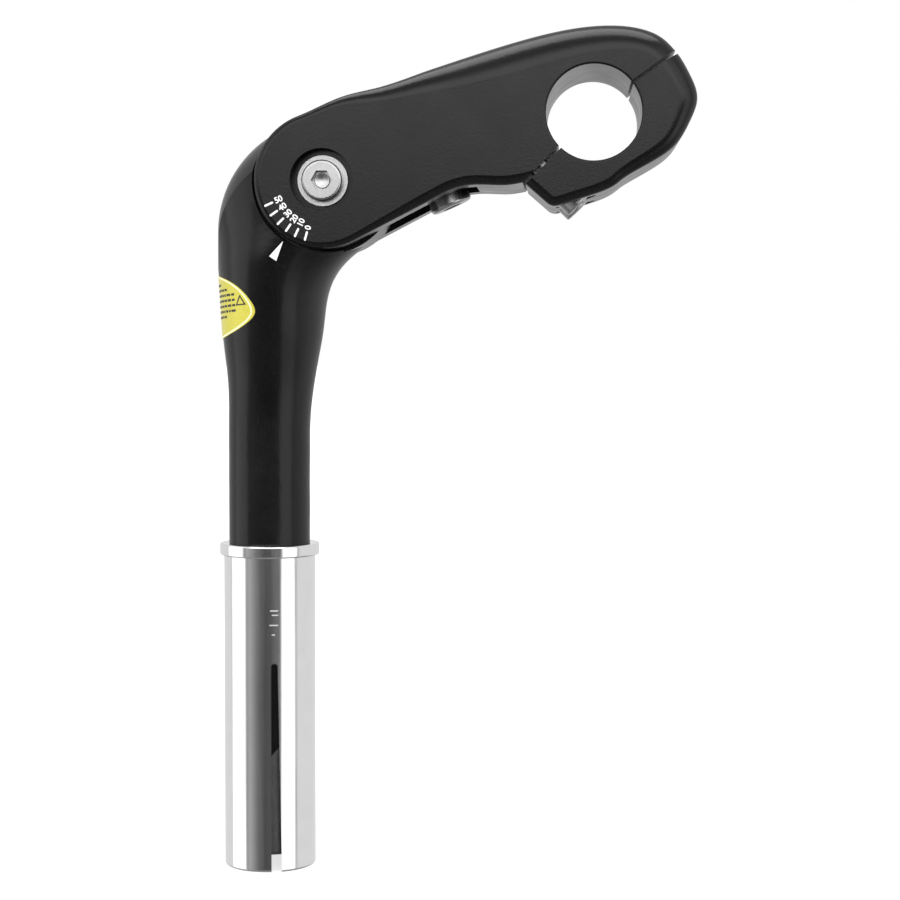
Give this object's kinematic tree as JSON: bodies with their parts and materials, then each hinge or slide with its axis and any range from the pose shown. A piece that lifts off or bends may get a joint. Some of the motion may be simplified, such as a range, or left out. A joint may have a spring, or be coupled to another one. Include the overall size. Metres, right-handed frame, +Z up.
{
  "type": "adjustable handlebar stem",
  "caption": "Adjustable-angle quill stem: wedge-clamped quill with a polished reducing sleeve, pivoting forged arm with toothed angle lock, and a handlebar clamp.",
  "frame": {"origin": "on the quill's axis at the underside of the reducing sleeve's flange, where the stem meets the top of the steerer", "axes": "+Z up the quill, +X forward towards the handlebar, +Y to the rider's left, along the handlebar"},
  "size_m": [0.1307, 0.044, 0.2306],
  "materials": {
    "black_coat": "satin powder coat",
    "polished_alloy": "polished",
    "bright_steel": "bright zinc plate",
    "dark_steel": "oiled",
    "lock_steel": "sintered",
    "bush_plastic": "matt",
    "plug_rubber": "matt",
    "label_vinyl": "gloss vinyl"
  },
  "bodies": {
    "quill": {"quill_body": "black_coat", "reducing_sleeve": "polished_alloy", "expander_washer": "bright_steel", "access_plug": "plug_rubber", "near_bush": "bush_plastic", "far_bush": "bush_plastic", "safety_label": "label_vinyl"},
    "expander_bolt": {"expander_bolt": "bright_steel"},
    "expander_wedge": {"expander_wedge": "dark_steel"},
    "arm": {"arm": "black_coat", "faceplate": "black_coat", "faceplate_screws": "bright_steel", "faceplate_washers": "bright_steel", "pivot_bolt": "bright_steel", "pivot_nut": "bright_steel", "pivot_washer": "bright_steel", "pivot_nut_washer": "bright_steel", "lock_washer": "bright_steel"},
    "lock_bolt": {"lock_bolt": "bright_steel"},
    "lock_wedge": {"lock_wedge": "lock_steel"},
    "lock_shoe": {"lock_shoe": "lock_steel"}
  },
  "joints": [
    {"name": "angle_adjust", "type": "hinge", "parent": "quill", "child": "arm", "pos_m": [0.017, 0, 0.1024], "axis": [0, -1, 0], "range_deg": [-20, 30]},
    {"name": "expander_turn", "type": "hinge", "parent": "quill", "child": "expander_bolt", "pos_m": [0, 0, 0.0456], "axis": [0, 0, -1], "range_deg": [-1800, 0]},
    {"name": "expander_slide", "type": "slide", "parent": "quill", "child": "expander_wedge", "axis": [0, 0, 1], "range_m": [-0.00625, 0]},
    {"name": "lock_turn", "type": "hinge", "parent": "arm", "child": "lock_bolt", "pos_m": [0.04877, 0, 0.10111], "axis": [-0.4067, 0, 0.9135], "range_deg": [0, 2160]},
    {"name": "lock_wedge_slide", "type": "slide", "parent": "arm", "child": "lock_wedge", "axis": [0.4067, 0, -0.9135], "range_m": [0, 0.006]},
    {"name": "lock_shoe_slide", "type": "slide", "parent": "arm", "child": "lock_shoe", "axis": [-0.9135, 0, -0.4067], "range_m": [0, 0.0015]}
  ],
  "couplings": [
    {"joint": "expander_turn", "follows": "expander_slide", "rad_per_m": 5026.5},
    {"joint": "lock_turn", "follows": "lock_wedge_slide", "rad_per_m": 6283.2},
    {"joint": "lock_shoe_slide", "follows": "lock_wedge_slide", "ratio": 0.25}
  ]
}
